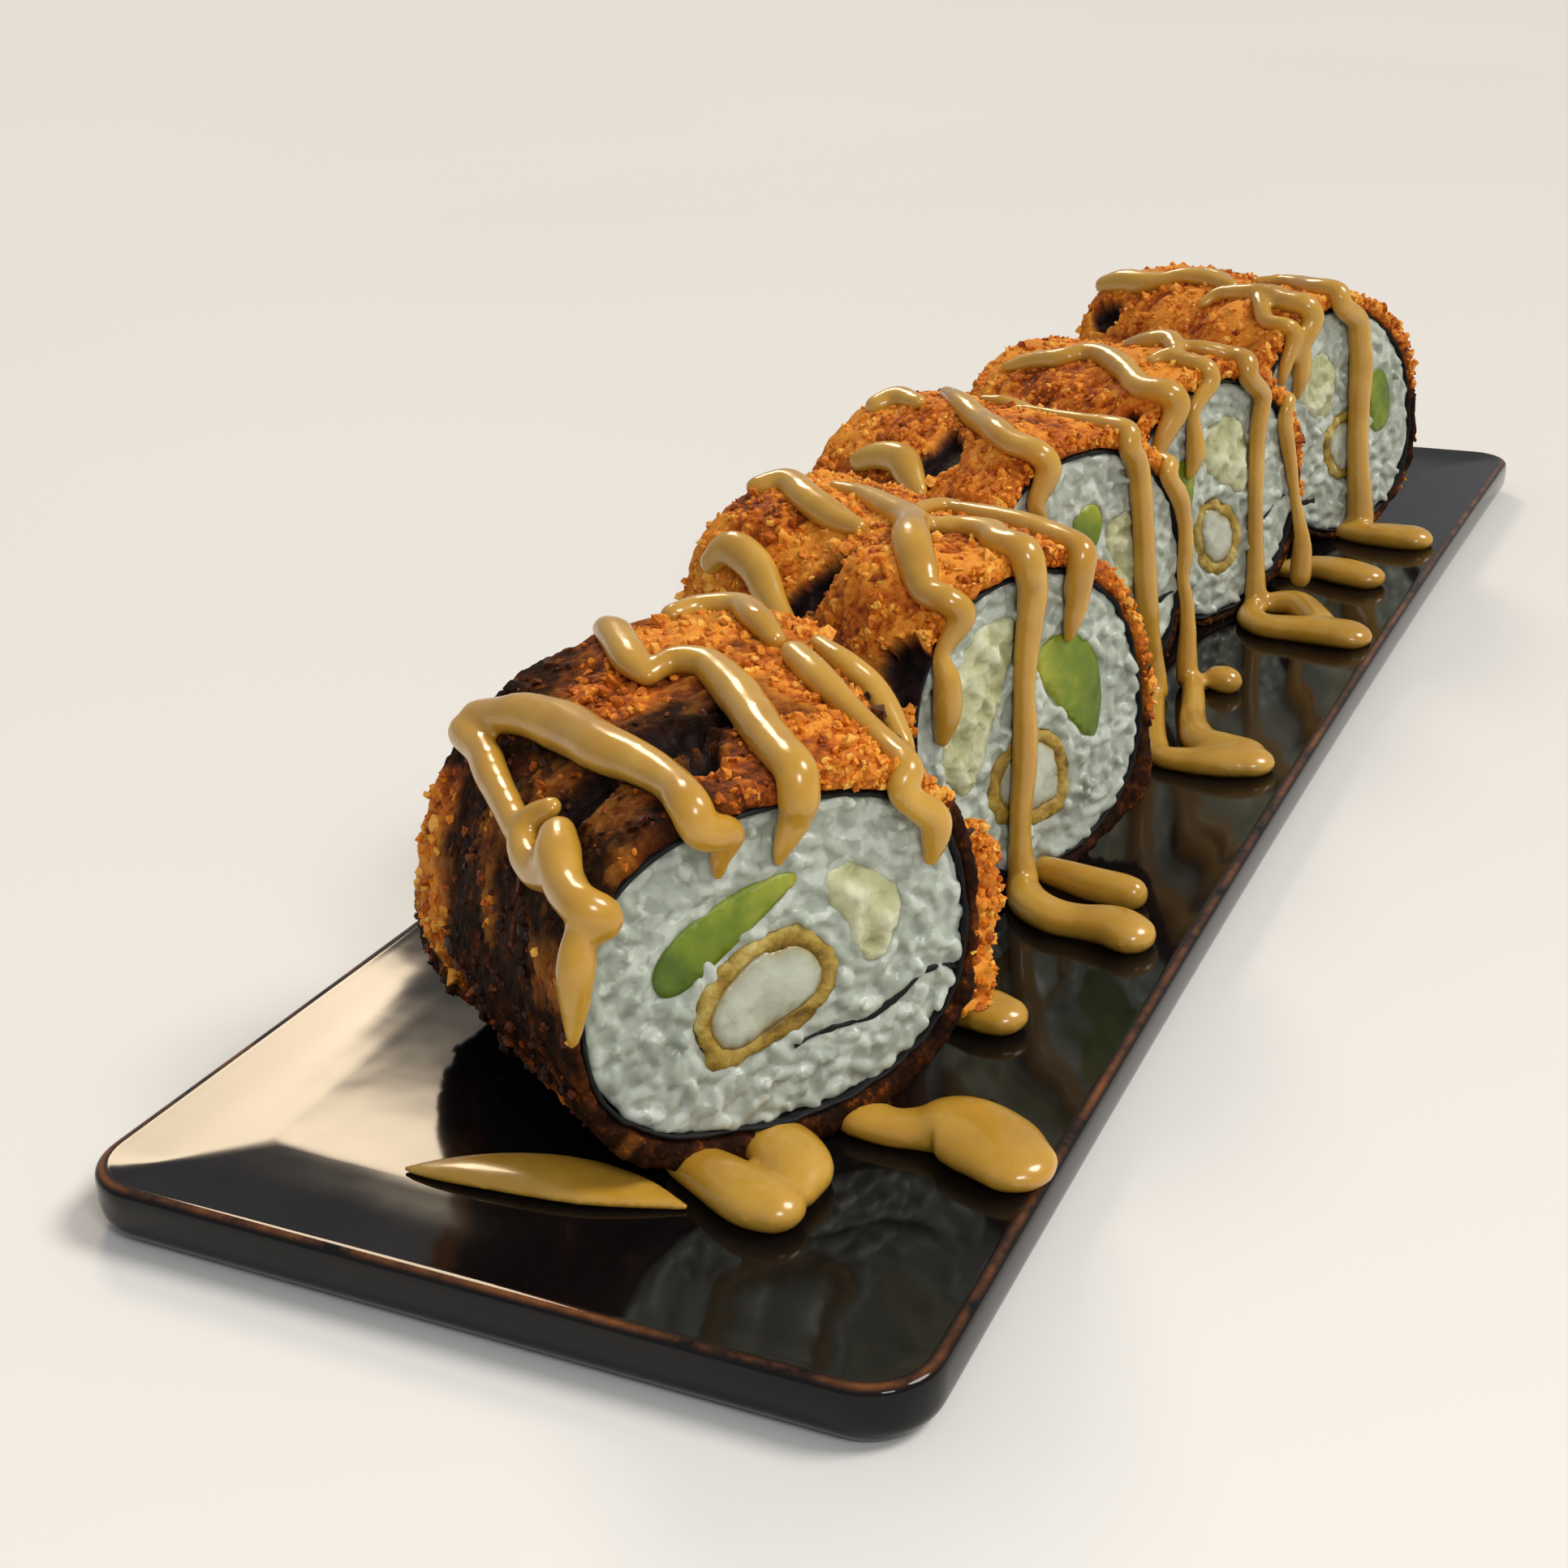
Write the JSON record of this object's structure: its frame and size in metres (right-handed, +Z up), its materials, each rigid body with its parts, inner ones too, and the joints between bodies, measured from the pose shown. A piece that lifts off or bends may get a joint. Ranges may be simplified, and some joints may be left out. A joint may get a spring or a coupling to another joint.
{
  "type": "fried sushi rolls on a long plate",
  "caption": "Long narrow dark plate carrying a row of thick crumbed and fried sushi rolls with seaweed outside the rice, cut ends turned to one side, under strands and pools of thick sauce.",
  "frame": {"origin": "middle of the plate's flat underside, at the bottom centre of the whole's bounding box", "axes": "+Z up; +Y along the plate's length, away from the end with the leaf-shaped streak of sauce; +X across the plate, towards the side that the cut faces turn to"},
  "size_m": [0.1096, 0.379, 0.0619],
  "materials": {
    "plate": "near-black glaze, glossy, with a brown-gold edge where it thins over the rim",
    "crust": "deep-fried crumb, golden orange, rough, with brown thin patches, under strands of glossy tan sauce",
    "nori": "near-black seaweed with a faint green and purple tint, slightly shiny where moist",
    "rice": "cool white cooked rice, moist and slightly translucent",
    "avocado": "yellow-green flesh, darker green at its edge, moist",
    "cheese": "pale cream with a faint green cast, soft sheen",
    "shrimp": "translucent white with a faint pink, moist",
    "batter": "golden-olive fried batter, rough",
    "sauce": "thick ochre-tan sauce, glossy, opaque"
  },
  "bodies": {
    "root": {"plate": "plate", "roll_1_avocado": "avocado", "roll_1_batter": "batter", "roll_1_cheese": "cheese", "roll_1_crust": "crust", "roll_1_nori": "nori", "roll_1_rice": "rice", "roll_1_shrimp": "shrimp", "roll_2_avocado": "avocado", "roll_2_batter": "batter", "roll_2_cheese": "cheese", "roll_2_crust": "crust", "roll_2_nori": "nori", "roll_2_rice": "rice", "roll_2_shrimp": "shrimp", "roll_3_avocado": "avocado", "roll_3_batter": "batter", "roll_3_cheese": "cheese", "roll_3_crust": "crust", "roll_3_nori": "nori", "roll_3_rice": "rice", "roll_3_shrimp": "shrimp", "roll_4_avocado": "avocado", "roll_4_batter": "batter", "roll_4_cheese": "cheese", "roll_4_crust": "crust", "roll_4_nori": "nori", "roll_4_rice": "rice", "roll_4_shrimp": "shrimp", "roll_5_avocado": "avocado", "roll_5_batter": "batter", "roll_5_cheese": "cheese", "roll_5_crust": "crust", "roll_5_nori": "nori", "roll_5_rice": "rice", "roll_5_shrimp": "shrimp", "sauce_drop": "sauce", "sauce_leaf": "sauce", "sauce_pool_1": "sauce", "sauce_pool_2": "sauce", "sauce_pool_3": "sauce", "sauce_pool_4": "sauce", "sauce_pool_5": "sauce", "sauce_pool_6": "sauce", "sauce_pool_7": "sauce", "sauce_pool_8": "sauce"}
  },
  "joints": []
}
